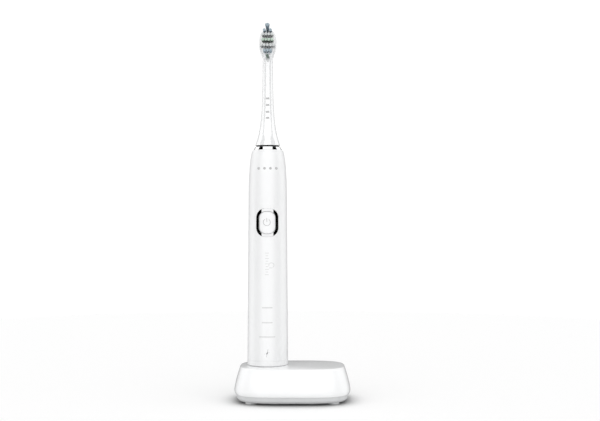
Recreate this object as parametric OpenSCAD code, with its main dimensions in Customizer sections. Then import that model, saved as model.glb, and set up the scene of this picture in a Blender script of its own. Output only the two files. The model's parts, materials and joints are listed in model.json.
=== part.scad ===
// Electric toothbrush standing on its charging base.
// The front of the object faces -Y, its height runs along +Z and the floor is z = 0.

/* [Charging base] */
// Width of the base at its widest line
base_w = 84; // [80:1:92]
// Depth of the base at its widest line
base_d = 58; // [57:1:62]
// Height of the base, without its post
base_h = 26; // [25.5:0.5:26.5]
// Corner radius of the base, seen from above
base_corner_r = 20; // [19:0.5:21]
// How far the sides lean in from the widest line to the top edge
side_lean = 3.9; // [3:0.1:4.5]
// Radius of the charging post
post_r = 5; // [4.8:0.1:5.2]
// Height of the charging post above the base
post_h = 10.5; // [9:0.5:10.5]
// Distance of the brush axis from the middle of the base
brush_offset = 18; // [17:0.5:20]
// Radius of the rubber feet
foot_r = 4.2; // [3.6:0.1:4.3]
// Bore for the mains cord
cord_bore_r = 1.9; // [1.5:0.1:2.1]

/* [Handle] */
// Radius of the handle at its foot
handle_foot_r = 14.8; // [14.7:0.1:15.2]
// Radius of the handle where the shoulder starts
handle_waist_r = 13.9; // [13.8:0.1:14.2]
// Height at which the shoulder starts
shoulder_z = 146; // [144:1:148]
// Height of the top of the handle shell
handle_top_z = 182; // [181.5:0.5:182.5]
// Wall of the handle shell
handle_wall = 1.8; // [1.6:0.1:1.8]
// Width of the chrome bezel round the power button
bezel_w = 16; // [15.6:0.1:16.2]
// Height of the chrome bezel
bezel_h = 20.4; // [20:0.1:21]
// Width of the power button
button_w = 11.4; // [11.2:0.1:11.8]
// Height of the power button
button_h = 15.9; // [15.5:0.1:16.2]
// Height of the middle of the power button
button_z = 129.3; // [128:0.5:130]

/* [Brush head] */
// Radius of the neck at its lower end
neck_foot_r = 9.05; // [8.8:0.05:9.2]
// Radius of the thin part of the neck
neck_r = 3.6; // [3.5:0.1:3.8]
// Half width of the bristle platform
platform_half_w = 6.25; // [6:0.05:6.5]
// Length of the bristles in front of the platform
bristle_len = 10.4; // [8:0.2:11]
// Radius of one tuft of bristles
tuft_r = 1.05; // [0.95:0.01:1.06]

/* [Motor] */
// Radius of the swinging drive shaft
shaft_r = 1.5; // [1.4:0.05:1.55]
// Radial running clearance of the shaft in its bushes
shaft_clearance = 0.05; // [0.03:0.01:0.08]
// Outer radius of the motor housing
motor_r = 7.8; // [7.6:0.05:7.8]

/* [Quality] */
// Facets on a full circle
$fn = 96; // [48:8:128]

/* [Hidden] */

white = "#F7F8F8";
grey = "#C9CBCC";
dark = "#3A3C3E";
copper = "#B8703A";
steel = "#B9BDC1";
eps = 0.02;

// Charging base: heights
foot_h = 1.2;
foot_recess = 0.8;
lip_z = 5.9;
belly_z = 9;
base_wall = 2;
base_inner_z = base_h - 2.2;
top_edge_z = base_h - 1.5;
top_round_w = 2.3;
post_top = base_h + post_h;
post_edge = 1;
cover_floor_z = 3.6;
cover_gap = 0.2;
corner_x = base_w / 2 - base_corner_r;
corner_y = base_d / 2 - base_corner_r;
foot_x = 29.4;
foot_y = 16.4;
base_screw_x = 14;
base_screw_y = 19.5;
base_screw_r = 1.2;
screw_head_r = 2.4;
screw_seat_z = 3;
boss_r = 2.8;
boss_depth = 10;
pad_r = 3.6;
pad_top_z = 5.3;
rim_w = 1.6;
rim_top_z = 7.3;
pillar_r = 2.4;
post_wall = 1.2;
core_r = 1.6;
spool_r = 2.3;
spool_z0 = 22;
spool_top = post_top - post_wall - 0.4;
flange_t = 0.8;
board_x0 = -2;
board_x1 = 32;
board_half_d = 13;
board_z = 8.5;
board_t = 1.6;
board_hole_inset = 6;
board_hole_y = 9;
gland_x = 14;
gland_z = 12.5;
gland_r = 3.2;
gland_y0 = base_d / 2 - 5.2;

// Handle: heights and radii
rest_gap = 0.15;
handle_z = base_h + rest_gap;
seam_z = handle_z + 3.55;
well_clear = 0.4;
well_depth = post_h + 0.2;
chassis_z0 = 39;
chassis_z1 = 143;
chassis_r = 11.7;
chassis_wall = 1.2;
chassis_front_y = -6.6;
pcb_y0 = -9.4;
pcb_t = 1.2;
pcb_half_w = 7.2;
pcb_z0 = 42;
pcb_z1 = 141;
cell_r = 7;
cell_y = 2.6;
cell_z0 = 44;
cell_len = 49;
mode_zs = [68, 57.3, 47];
mode_ws = [7.6, 7.6, 11];
level_z0 = 90;
level_z1 = 109;
collar_r0 = 10.3;
collar_r1 = 8.9;
collar_h = 2.2;
shaft_hole_r = 6.4;

// Motor and drive: heights
motor_z0 = 103;
motor_z1 = 148.5;
motor_wall = 0.8;
stator_z0 = 110;
stator_z1 = 132;
rotor_r = 3.9;
hub_r = 2.3;
spring_z0 = 134;
spring_z1 = 146.3;
shaft_top_z = 205;
flat_z = 190;
flat_y = -1;
seal_top_z = handle_top_z + collar_h + 0.7;

// Brush head: heights
neck_z = 185.3;
neck_fall = 13.5;
platform_z0 = 246;
platform_z1 = 270;
platform_wide_z0 = 258;
platform_wide_z1 = 260.2;
platform_front_y = -2.2;
platform_back_y = 2;
head_bore_r = 3.1;
mouth_r = 6.2;
mouth_z = 191.5;
tuft_depth = 3;
anchor_y = platform_front_y + tuft_depth - 0.55;
row_zs = [249.5, 253.4, 257.2, 261.1, 265, 268];
row_tufts = [1, 3, 5, 4, 4, 2];
row_pitches = [2.2, 2.2, 2.2, 2.2, 2.2, 4.4];
row_colours = ["green", "blue", "white", "green", "white", "blue"];
tip_tuft_z = 268;
tip_lean = 24;

// ---------------------------------------------------------------- shared shapes

// Everything of the brush stands on its own axis, beside the middle of the base.
module at_brush() {
  translate([-brush_offset, 0, 0]) children();
}

module tube(r_out, r_in, z0, z1) {
  translate([0, 0, z0]) difference() {
    cylinder(r = r_out, h = z1 - z0);
    translate([0, 0, -1]) cylinder(r = r_in, h = z1 - z0 + 2);
  }
}

module block(x0, x1, y0, y1, z0, z1) {
  translate([x0, y0, z0]) cube([x1 - x0, y1 - y0, z1 - z0]);
}

// A round bar along Y.
module bar_y(r, y0, y1, x, z) {
  translate([x, y0, z]) rotate([-90, 0, 0]) cylinder(r = r, h = y1 - y0);
}

module rounded_rect(w, h, r) {
  square([w - 2 * r, h], center = true);
  square([w, h - 2 * r], center = true);
  for (x = [-1, 1], y = [-1, 1])
    translate([x * (w / 2 - r), y * (h / 2 - r)]) circle(r = r);
}

// A rounded rectangle in the XZ plane, drawn forward from the brush axis.
module front_prism(w, h, r, z) {
  translate([0, 0, z]) rotate([90, 0, 0]) linear_extrude(height = 20) rounded_rect(w, h, r);
}

module in_corners(x, y) {
  for (i = [-1, 1], j = [-1, 1]) translate([i * x, j * y, 0]) children();
}

// A body with the plan of the base: the profile [radius, height] is turned at each
// corner axis and drawn straight between them. The profile starts and ends on the axis.
module base_solid(profile) {
  span_z = [min([for (p = profile) p[1]]), max([for (p = profile) p[1]])];
  in_corners(corner_x, corner_y) rotate_extrude() polygon(profile);
  for (s = [-1, 1]) {
    translate([-s * corner_x, s * corner_y, 0]) rotate([90, 0, 90 * s])
      linear_extrude(height = 2 * corner_x) polygon(profile);
    translate([s * corner_x, s * corner_y, 0]) rotate([90, 0, 90 - 90 * s])
      linear_extrude(height = 2 * corner_y) polygon(profile);
  }
  block(-corner_x, corner_x, -corner_y, corner_y, span_z[0], span_z[1]);
}

// ---------------------------------------------------------------- outlines

// How far the side of the base stands in from its widest line at height z.
function side_inset(z) =
  z < belly_z ? 0.9 * pow((belly_z - z) / (belly_z - lip_z), 2)
              : side_lean * pow((z - belly_z) / (top_edge_z - belly_z), 1.35);

side_zs = [lip_z, 7.3, belly_z, 12, 15, 18, 21, top_edge_z];

// The outside runs from the lip, up the side and over the rounded top edge.
outer_profile =
  concat([[0, lip_z]],
         [for (z = side_zs) [base_corner_r - side_inset(z), z]],
         [for (a = [30, 60]) [base_corner_r - side_lean - top_round_w * (1 - cos(a)),
                              top_edge_z + (base_h - top_edge_z) * sin(a)]],
         [[base_corner_r - side_lean - top_round_w, base_h], [0, base_h]]);

// The hollow follows the outside one wall further in, and is open below.
inner_profile =
  concat([[0, lip_z - 1], [base_corner_r - side_inset(lip_z) - base_wall, lip_z - 1]],
         [for (z = side_zs) if (z < base_inner_z) [base_corner_r - side_inset(z) - base_wall, z]],
         [[base_corner_r - side_lean - top_round_w - base_wall / 2, base_inner_z],
          [0, base_inner_z]]);

cover_profile = [[0, foot_h], [base_corner_r - 4.5, foot_h], [base_corner_r - 2.9, foot_h + 0.7],
                 [base_corner_r - 1.9, 3.8], [base_corner_r - 1.5, lip_z - cover_gap],
                 [0, lip_z - cover_gap]];

// Radius of the handle at height z: a slight taper, then a shoulder that rolls in.
function handle_r(z) =
  z < shoulder_z
    ? handle_foot_r - (handle_foot_r - handle_waist_r) * (z - handle_z) / (shoulder_z - handle_z)
    : collar_r0 + (handle_waist_r - collar_r0)
      * sqrt(max(0, 1 - pow((z - shoulder_z) / (handle_top_z - shoulder_z), 2.2)));

// Heights at which the outline is drawn: closer together where it curves.
shoulder_steps = 9;
shell_zs = concat([seam_z, (seam_z + shoulder_z) / 2],
  [for (i = [0 : shoulder_steps])
    shoulder_z + (handle_top_z - shoulder_z) * sin(90 * i / shoulder_steps)]);

// Radius of the neck at height z: a trumpet that thins towards the bristles.
function neck_radius(z) = neck_r + (neck_foot_r - neck_r) * exp(-(z - neck_z) / neck_fall);

neck_steps = 13;
neck_zs = [for (i = [0 : neck_steps])
  neck_z + (platform_z0 + 1 - neck_z) * pow(i / neck_steps, 1.5)];

// The round neck tapers to a point inside the platform.
neck_tip = [[neck_r - 0.4, platform_z0 + 4], [neck_r - 2, platform_z0 + 8], [0, platform_z0 + 9]];

// Half width of the bristle platform at height z.
function platform_half(z) =
  z < platform_wide_z0
    ? neck_r - 0.2 + (platform_half_w - neck_r + 0.2)
      * (0.5 - 0.5 * cos(180 * (z - platform_z0) / (platform_wide_z0 - platform_z0)))
    : platform_half_w * sqrt(max(0,
        1 - pow(max(0, z - platform_wide_z1) / (platform_z1 - platform_wide_z1), 3)));

platform_steps = 14;
platform_zs = [for (i = [0 : platform_steps])
  platform_z0 + (platform_z1 - platform_z0) * sin(90 * i / platform_steps)];

// Sideways place of tuft k in row i.
function tuft_x(i, k) = (k - (row_tufts[i] - 1) / 2) * row_pitches[i];

// ---------------------------------------------------------------- charging base

// The boss of each screw hangs from the top and ends on a pad of the cover.
module base_shell() color(white) difference() {
  union() {
    base_solid(outer_profile);
    at_brush() translate([0, 0, base_inner_z])
      cylinder(r = post_r, h = post_top - post_edge - base_inner_z);
    at_brush() translate([0, 0, post_top - post_edge])
      cylinder(r1 = post_r, r2 = post_r - post_edge, h = post_edge);
  }
  difference() {
    base_solid(inner_profile);
    in_corners(base_screw_x, base_screw_y) tube(boss_r, base_screw_r, lip_z, base_h);
  }
  at_brush() translate([0, 0, base_inner_z - 1])
    cylinder(r = post_r - post_wall, h = post_top - post_wall - base_inner_z + 1);
  bar_y(gland_r + 0.05, base_d / 2 - 8, base_d / 2 + 2, gland_x, gland_z);
  in_corners(base_screw_x, base_screw_y) translate([0, 0, lip_z - 2])
    cylinder(r = base_screw_r, h = boss_depth);
}

module base_cover() color(grey) {
  rim_r = base_corner_r - side_inset(lip_z) - base_wall - cover_gap;
  hollow_r = rim_r - rim_w;
  difference() {
    union() {
      base_solid(cover_profile);
      base_solid([[0, lip_z - 1], [rim_r, lip_z - 1], [rim_r, rim_top_z], [0, rim_top_z]]);
    }
    difference() {
      base_solid([[0, cover_floor_z], [hollow_r, cover_floor_z], [hollow_r, base_h], [0, base_h]]);
      at_board_holes() cylinder(r = pillar_r, h = board_z - eps);
      in_corners(base_screw_x, base_screw_y) cylinder(r = pad_r, h = pad_top_z);
    }
    in_corners(foot_x, foot_y) translate([0, 0, foot_h - 1])
      cylinder(r = foot_r + 0.1, h = 1 + foot_recess);
    in_corners(base_screw_x, base_screw_y) cylinder(r = screw_head_r + 0.2, h = screw_seat_z);
    in_corners(base_screw_x, base_screw_y) cylinder(r = base_screw_r + 0.2, h = base_h);
    at_board_holes() translate([0, 0, cover_floor_z]) cylinder(r = 0.8, h = board_z);
  }
}

module rubber_feet() color("#D9DADA") {
  edge = 0.4;
  in_corners(foot_x, foot_y) {
    cylinder(r1 = foot_r - edge, r2 = foot_r, h = edge);
    translate([0, 0, edge]) cylinder(r = foot_r, h = foot_h + foot_recess - edge - eps);
  }
}

// One pan-head screw pointing up, its head's underside at height z.
module screw_up(head_r, shank_r, head_h, length, z) {
  translate([0, 0, z - head_h]) difference() {
    cylinder(r = head_r, h = head_h);
    translate([0, 0, -0.2]) cylinder(r = head_r / 3, h = head_h / 2 + 0.2, $fn = 6);
  }
  translate([0, 0, z]) cylinder(r = shank_r, h = length);
}

module base_screws() color(steel) {
  in_corners(base_screw_x, base_screw_y)
    screw_up(screw_head_r, base_screw_r - eps, 1.2, boss_depth - 1, screw_seat_z - eps);
}

// A spool on a round foot that stands on the cover, with its winding inside the post.
module primary_bobbin() color("#E8E4D8") at_brush() {
  bore_r = core_r + 0.1;
  tube(7, bore_r, cover_floor_z + eps, cover_floor_z + 1.5);
  tube(spool_r, bore_r, cover_floor_z + 1.5, spool_top);
  for (z = [spool_z0, spool_top - flange_t]) tube(3.5, bore_r, z, z + flange_t);
}

module primary_coil() color(copper) at_brush() {
  tube(3.45, spool_r + eps, spool_z0 + flange_t + eps, spool_top - flange_t - eps);
}

module ferrite_core() color(dark) at_brush() {
  translate([0, 0, cover_floor_z + 1]) cylinder(r = core_r, h = spool_top - cover_floor_z - 1);
}

module at_board_holes() {
  for (x = [board_x0 + board_hole_inset, board_x1 - board_hole_inset], y = [-1, 1])
    translate([x, y * board_hole_y, 0]) children();
}

module charger_board() color("#2F7A4D") difference() {
  block(board_x0, board_x1, -board_half_d, board_half_d, board_z, board_z + board_t);
  at_board_holes() cylinder(r = 1.1, h = base_h);
}

// Round parts of the charging circuit: [x, y, radius, height].
charger_cans = [[10, 6, 3.2, 8], [17.5, 4, 3, 4]];
// Its chips and film capacitor: [x0, x1, y0, y1, height].
charger_chips = [[8, 13, -5, 0, 1.2], [17, 21, -9, -6, 1], [15, 23, -3.4, 0, 3]];

module charger_parts() color(dark) translate([0, 0, board_z + board_t]) {
  for (c = charger_cans) translate([c[0], c[1], 0]) cylinder(r = c[2], h = c[3]);
  for (c = charger_chips) block(c[0], c[1], c[2], c[3], 0, c[4]);
}

module charger_board_screws() color(steel) at_board_holes() {
  translate([0, 0, board_z + board_t]) cylinder(r1 = 1.8, r2 = 1.4, h = 1.1);
  translate([0, 0, board_z - 3]) cylinder(r = 0.75, h = board_t + 3);
}

// A grommet with its flange behind the wall of the base.
module cord_gland() color("#E3E5E5") difference() {
  union() {
    bar_y(gland_r, gland_y0, base_d / 2, gland_x, gland_z);
    bar_y(gland_r + 1.2, gland_y0, gland_y0 + 1.2, gland_x, gland_z);
  }
  bar_y(cord_bore_r, gland_y0 - 1, base_d / 2 + 1, gland_x, gland_z);
}

// ---------------------------------------------------------------- handle

module handle_shell() color(white) at_brush() {
  inner_top = handle_top_z - 4;
  outer = [for (z = shell_zs) [handle_r(z), z]];
  inner = [for (z = shell_zs) if (z < inner_top) [handle_r(z) - handle_wall, z]];
  difference() {
    rotate_extrude() polygon(concat([[0, seam_z]], outer, [[0, handle_top_z]]));
    rotate_extrude() polygon(concat([[0, seam_z - 1], [inner[0][0], seam_z - 1]], inner,
      [[handle_r(inner_top) - handle_wall - 0.6, inner_top], [0, inner_top]]));
    translate([0, 0, inner_top - 1]) cylinder(r = shaft_hole_r + 2.4, h = 10);
    front_prism(bezel_w + 0.1, bezel_h + 0.1, 6.5, button_z);
  }
}

module end_cap() color(white) at_brush() {
  well_top = handle_z + well_depth;
  edge = 0.5;
  difference() {
    union() {
      rotate_extrude() polygon([[0, handle_z], [handle_foot_r - edge, handle_z],
        [handle_foot_r - 0.15, handle_z + 0.15], [handle_foot_r, handle_z + edge],
        [handle_foot_r, seam_z - 0.15], [handle_foot_r - 0.15, seam_z - eps],
        [0, seam_z - eps]]);
      tube(12.7, 11.1, seam_z - 1, seam_z + 4);
      cylinder(r = post_r + well_clear + 1.2, h = well_top + 1.2);
    }
    translate([0, 0, handle_z - 1]) cylinder(r = post_r + well_clear, h = well_depth + 1);
    difference() {
      translate([0, 0, handle_z + 2]) cylinder(r = 11.1, h = 3);
      cylinder(r = post_r + well_clear + 1.2, h = well_top);
    }
    translate([0, 0, -1]) cylinder(r = 30, h = handle_z + 1);
    tube(13, 11.7, seam_z + 1.2, seam_z + 2.7);
  }
}

module end_cap_seal() color(dark) at_brush() {
  translate([0, 0, seam_z + 1.95]) rotate_extrude() translate([12.35, 0]) circle(r = 0.6, $fn = 24);
}

module secondary_bobbin() color("#E8E4D8") at_brush() {
  bore = post_r + well_clear + 1.25;
  tube(bore + 0.4, bore, handle_z + 2.1, handle_z + 11);
  tube(9.3, bore, handle_z + 2.1, handle_z + 2.9);
  tube(9.3, bore, handle_z + 10.2, handle_z + 11);
}

module secondary_coil() color(copper) at_brush() {
  tube(9.1, post_r + well_clear + 1.65 + eps, handle_z + 2.9 + eps, handle_z + 10.2 - eps);
}

module chassis() color("#DDE0DC") at_brush() {
  inner_r = chassis_r - chassis_wall;
  difference() {
    union() {
      tube(chassis_r, inner_r, chassis_z0, chassis_z1);
      translate([0, 0, chassis_z0]) cylinder(r = inner_r + 0.1, h = 2);
      translate([0, 0, 99]) cylinder(r = inner_r + 0.1, h = 2);
      for (z = [108, 138]) tube(inner_r + 0.1, motor_r + 0.05, z, z + 2);
    }
    block(-20, 20, -20, chassis_front_y, 0, 200);
  }
  for (s = [-1, 1])
    block(s < 0 ? -9.4 : 7.2 - 1.4, s < 0 ? -7.2 + 1.4 : 9.4, pcb_y0 + pcb_t + eps,
          chassis_front_y + 0.2, 46, 100);
}

module battery() color("#4D7FB0") at_brush() translate([0, cell_y, 0]) {
  translate([0, 0, cell_z0]) cylinder(r = cell_r, h = cell_len);
  translate([0, 0, cell_z0 + cell_len]) cylinder(r = 2.75, h = 1);
}

module battery_tabs() color(steel) at_brush() {
  back = pcb_y0 + pcb_t + 0.1;
  block(-1.5, 1.5, back, cell_y + 3, cell_z0 - 0.4, cell_z0 - 0.1);
  block(-1.5, 1.5, back, cell_y + 2, cell_z0 + cell_len + 1.1, cell_z0 + cell_len + 1.4);
}

module main_board() color("#2F7A4D") at_brush() difference() {
  block(-pcb_half_w, pcb_half_w, pcb_y0, pcb_y0 + pcb_t, pcb_z0, pcb_z1);
  at_pcb_holes() bar_y(0.7, pcb_y0 - 1, pcb_y0 + 3, 0, 0);
}

module at_pcb_holes() {
  for (x = [-6, 6], z = [50, 96]) translate([x, 0, z]) children();
}

// Controller, driver, charger chips and a coil: [x0, x1, height, z0, z1].
pcb_chips = [[-3.5, 3.5, 1, 114, 121], [-2, 2, 0.9, 76, 79], [-5, -2, 1, 82, 85],
             [2.2, 4.8, 1.2, 81.5, 84.5], [-1.5, 1.5, 1, 137, 138.6]];

module board_parts() color(dark) at_brush() {
  for (c = pcb_chips) block(c[0], c[1], pcb_y0 - c[2], pcb_y0, c[3], c[4]);
}

module board_screws() color(steel) at_brush() at_pcb_holes() {
  bar_y(1.2, pcb_y0 - 0.7, pcb_y0, 0, 0);
  bar_y(0.65, pcb_y0, pcb_y0 + 1.2, 0, 0);
}

module mode_leds() color("#F2EFC8") at_brush() {
  lamp_zs = concat(mode_zs, [level_z0 + 4, (level_z0 + level_z1) / 2, level_z1 - 4, 43.5]);
  for (z = lamp_zs) block(-0.8, 0.8, pcb_y0 - 0.6, pcb_y0, z - 0.4, z + 0.4);
}

module light_guides() color("#EEF3F5", 0.8) at_brush() {
  front = -11.2;
  back = pcb_y0 - 0.65;
  for (i = [0 : len(mode_zs) - 1])
    block(-mode_ws[i] / 2, mode_ws[i] / 2, front, back, mode_zs[i] - 1.7, mode_zs[i] + 1.7);
  block(-2.6, 4.4, front, back, level_z0, level_z1);
  block(-2.4, 2.4, front, back, 36.2, 44.4);
}

module tact_switch() color(dark) at_brush() difference() {
  block(-3, 3, pcb_y0 - 1.6, pcb_y0, button_z - 3, button_z + 3);
  bar_y(1.3, pcb_y0 - 3, pcb_y0 - 0.3, 0, button_z);
}

module button_bezel() color("silver") at_brush() difference() {
  intersection() {
    tube(14.35, 12.95, button_z - bezel_h, button_z + bezel_h);
    front_prism(bezel_w, bezel_h, 6.4, button_z);
  }
  front_prism(button_w + 0.4, button_h + 0.4, 4.9, button_z);
}

module button_seal() color(dark) at_brush() difference() {
  intersection() {
    tube(12.9, 12.35, button_z - bezel_h, button_z + bezel_h);
    front_prism(bezel_w - 0.2, bezel_h - 0.2, 6.3, button_z);
  }
  front_prism(button_w + 2.2, button_h + 2.2, 5.6, button_z);
}

module top_collar() color("silver") at_brush() difference() {
  union() {
    translate([0, 0, handle_top_z - 3.8]) cylinder(r = shaft_hole_r + 2.3, h = 3.9);
    translate([0, 0, handle_top_z + 0.05]) cylinder(r1 = collar_r0, r2 = collar_r1, h = collar_h);
  }
  translate([0, 0, handle_top_z - 5]) cylinder(r = shaft_hole_r + 0.05, h = 10);
}

module shaft_seal() color("#1E1F20") at_brush() difference() {
  union() {
    translate([0, 0, handle_top_z - 3.6])
      cylinder(r = shaft_hole_r, h = seal_top_z - handle_top_z + 3.6);
    translate([0, 0, handle_top_z + collar_h + 0.1])
      cylinder(r = 8.4, h = seal_top_z - handle_top_z - collar_h - 0.1);
  }
  translate([0, 0, handle_top_z - 5]) cylinder(r = shaft_r + 0.25, h = 10);
}

// ---------------------------------------------------------------- motor

module motor_housing() color(steel) at_brush() {
  plate_z = motor_z1 - 2;
  tube(motor_r, motor_r - motor_wall, motor_z0 + 2.5, plate_z);
  tube(motor_r, 3.5 + eps, plate_z, motor_z1);
}

module motor_rear_cap() color(dark) at_brush() {
  tube(motor_r, 3 + eps, motor_z0, motor_z0 + 2.45);
}

module stator_core() color("#6C6F73") at_brush()
  tube(motor_r - motor_wall - eps, 5.6, stator_z0 + 2, stator_z1);

module stator_coil() color(copper) at_brush() tube(5.55, 4.5, stator_z0, stator_z1 + 1.5);

module upper_bush() color("#B08D57") at_brush()
  tube(3.5, shaft_r + shaft_clearance, motor_z1 - 1.9, motor_z1 + 1);

module lower_bush() color("#B08D57") at_brush()
  tube(3, shaft_r + shaft_clearance, motor_z0, motor_z0 + 3);

// Two steel leaves between a ring on the rotor and a ring under the motor's end plate.
module return_spring() color(steel) at_brush() {
  tube(3.4, 2, spring_z0, spring_z0 + 1);
  tube(3.4, 2, spring_z1 - 1, spring_z1);
  for (s = [-1, 1])
    block(s * 2.8 - 0.25, s * 2.8 + 0.25, -0.9, 0.9, spring_z0 + 0.9, spring_z1 - 0.9);
}

module damper_ring() color(dark) at_brush()
  tube(11.8, motor_r + eps, chassis_z1 + 0.4, chassis_z1 + 3.6);

module drive_shaft() color(steel) at_brush() difference() {
  translate([0, 0, motor_z0 + 0.5]) cylinder(r = shaft_r, h = shaft_top_z - motor_z0 - 0.5);
  block(-3, 3, -3, flat_y, flat_z, shaft_top_z + 1);
}

module rotor_hub() color("#E8E4D8") at_brush() {
  tube(hub_r, shaft_r + eps, motor_z0 + 4, stator_z1);
  tube(3, shaft_r + eps, stator_z1, spring_z0 - 0.2);
}

module rotor_magnet() color("#8A8D91") at_brush()
  tube(rotor_r, hub_r + eps, stator_z0 + 1, stator_z1 - 0.2);

// ---------------------------------------------------------------- power button

module power_button() color(white) at_brush() {
  intersection() {
    tube(14.15, 12.3, button_z - bezel_h, button_z + bezel_h);
    front_prism(button_w, button_h, 4.7, button_z);
  }
  intersection() {
    tube(12.8, 12.3, button_z - bezel_h, button_z + bezel_h);
    front_prism(button_w + 1.6, button_h + 1.6, 5.4, button_z);
  }
  bar_y(1.8, -12.6, pcb_y0 - 2.2 - eps, 0, button_z);
}

module switch_plunger() color("#C8483E") at_brush()
  bar_y(1.15, pcb_y0 - 2.2, pcb_y0 - 1, 0, button_z);

// ---------------------------------------------------------------- brush head

module head_body() color(white) at_brush() difference() {
  union() {
    rotate_extrude() polygon(concat([[0, neck_z]], [for (z = neck_zs) [neck_radius(z), z]],
      neck_tip));
    translate([0, platform_back_y, 0]) rotate([90, 0, 0])
      linear_extrude(height = platform_back_y - platform_front_y)
        polygon(concat([for (z = platform_zs) [platform_half(z), z]],
          [for (i = [platform_steps : -1 : 0]) [-platform_half(platform_zs[i]), platform_zs[i]]]));
  }
  block(-10, 10, -10, platform_front_y, platform_z0 + 2, 300);
  translate([0, 0, neck_z - 1]) cylinder(r = head_bore_r, h = 208 - neck_z);
  translate([0, 0, neck_z - 1]) cylinder(r = mouth_r, h = mouth_z - neck_z - 1);
  each_root() bar_y(tuft_r + 0.03, platform_front_y - 1, platform_front_y + tuft_depth, 0, 0);
}

module shaft_socket() color("#D5D8DA") at_brush() difference() {
  union() {
    translate([0, 0, neck_z + 3.2]) cylinder(r = head_bore_r - eps, h = 18);
    translate([0, 0, neck_z + 3.2]) cylinder(r = 3.9, h = 1);
  }
  difference() {
    translate([0, 0, neck_z]) cylinder(r = shaft_r + shaft_clearance, h = shaft_top_z + 0.4 - neck_z);
    block(-3, 3, -3, flat_y - shaft_clearance, flat_z + 0.4, shaft_top_z + 5);
  }
}

module retaining_clip() color(steel) at_brush() difference() {
  tube(5.9, 4.1, neck_z + 2.4, neck_z + 4.2);
  block(-1.5, 1.5, -8, 0, neck_z, neck_z + 6);
}

// Places its children at the straight tufts that have the given colour, or at all of them.
module each_tuft(colour = "") {
  for (i = [0 : len(row_tufts) - 1], k = [0 : row_tufts[i] - 1])
    if (colour == "" || row_colours[i] == colour)
      translate([tuft_x(i, k), 0, row_zs[i]]) children();
}

module at_tip_tuft() translate([0, 0, tip_tuft_z]) children();

module each_root() {
  each_tuft() children();
  at_tip_tuft() children();
}

// A tuft from its anchor to the given distance in front of the platform.
module tuft(length) bar_y(tuft_r, platform_front_y - length, anchor_y - eps, 0, 0);

module bristles_white() color("#F1F3F4") at_brush() each_tuft("white") tuft(bristle_len);

module bristles_green() color("#7FA58F") at_brush() each_tuft("green") tuft(bristle_len);

// The blue tufts include one that leans out over the tip of the head.
module bristles_blue() color("#7E94A1") at_brush() {
  each_tuft("blue") tuft(bristle_len);
  at_tip_tuft() tuft(0.25);
  at_tip_tuft() translate([0, platform_front_y, 0]) rotate([-tip_lean, 0, 0])
    bar_y(tuft_r - 0.08, -bristle_len, 0.2, 0, 0);
}

module tuft_anchors() color("#B08D57") at_brush() each_root()
  block(-0.85, 0.85, anchor_y, anchor_y + 0.45, -0.4, 0.4);

base_shell();
base_cover();
rubber_feet();
base_screws();
primary_bobbin();
primary_coil();
ferrite_core();
charger_board();
charger_parts();
charger_board_screws();
cord_gland();
handle_shell();
end_cap();
end_cap_seal();
secondary_bobbin();
secondary_coil();
chassis();
battery();
battery_tabs();
main_board();
board_parts();
board_screws();
mode_leds();
light_guides();
tact_switch();
button_bezel();
button_seal();
motor_housing();
motor_rear_cap();
stator_core();
stator_coil();
upper_bush();
lower_bush();
return_spring();
damper_ring();
shaft_seal();
top_collar();
drive_shaft();
rotor_hub();
rotor_magnet();
power_button();
switch_plunger();
head_body();
shaft_socket();
retaining_clip();
bristles_white();
bristles_green();
bristles_blue();
tuft_anchors();
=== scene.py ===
"""Electric toothbrush standing on its charging base, seen from the front on white."""

import json
import math
import random

import bmesh
import bpy
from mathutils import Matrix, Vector

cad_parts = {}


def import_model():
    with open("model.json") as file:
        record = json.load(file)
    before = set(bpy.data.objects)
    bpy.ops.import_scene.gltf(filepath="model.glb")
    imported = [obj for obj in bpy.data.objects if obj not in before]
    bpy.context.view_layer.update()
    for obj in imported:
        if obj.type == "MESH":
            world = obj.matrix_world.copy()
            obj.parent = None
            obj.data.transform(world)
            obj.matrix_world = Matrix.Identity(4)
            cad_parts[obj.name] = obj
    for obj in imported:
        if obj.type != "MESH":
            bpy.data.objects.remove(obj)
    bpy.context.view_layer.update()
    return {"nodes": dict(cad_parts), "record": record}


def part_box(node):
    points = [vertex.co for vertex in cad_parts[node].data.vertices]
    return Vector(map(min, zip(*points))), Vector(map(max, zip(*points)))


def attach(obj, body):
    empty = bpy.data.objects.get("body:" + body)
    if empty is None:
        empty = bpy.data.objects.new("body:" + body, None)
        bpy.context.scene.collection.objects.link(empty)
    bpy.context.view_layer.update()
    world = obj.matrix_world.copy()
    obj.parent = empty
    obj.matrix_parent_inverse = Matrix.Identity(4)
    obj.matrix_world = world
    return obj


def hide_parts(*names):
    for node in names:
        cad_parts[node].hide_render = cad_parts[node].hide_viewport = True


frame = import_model()

# Lengths in this script are millimetres; MM turns them into the frame's metres.
MM = 0.001


def span(node):
    """The box of a CAD node, in millimetres."""
    low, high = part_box(node)
    return [v / MM for v in low], [v / MM for v in high]


base_lo, base_hi = span("base_shell")
plinth_lo = span("base_cover")[0]
feet_hi = span("rubber_feet")[1]
gland_lo, gland_hi = span("cord_gland")
screws_lo, screws_hi = span("base_screws")
cap_lo, cap_hi = span("end_cap")
shell_lo, shell_hi = span("handle_shell")
collar_lo, collar_hi = span("top_collar")
seal_lo, seal_hi = span("shaft_seal")
bezel_lo, bezel_hi = span("button_bezel")
button_lo, button_hi = span("power_button")
plunger_lo = span("switch_plunger")[0]
head_lo, head_hi = span("head_body")
tufts_lo = span("bristles_white")[0]

# ---------------------------------------------------------------- main dimensions

AXIS_X = (shell_lo[0] + shell_hi[0]) / 2

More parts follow.
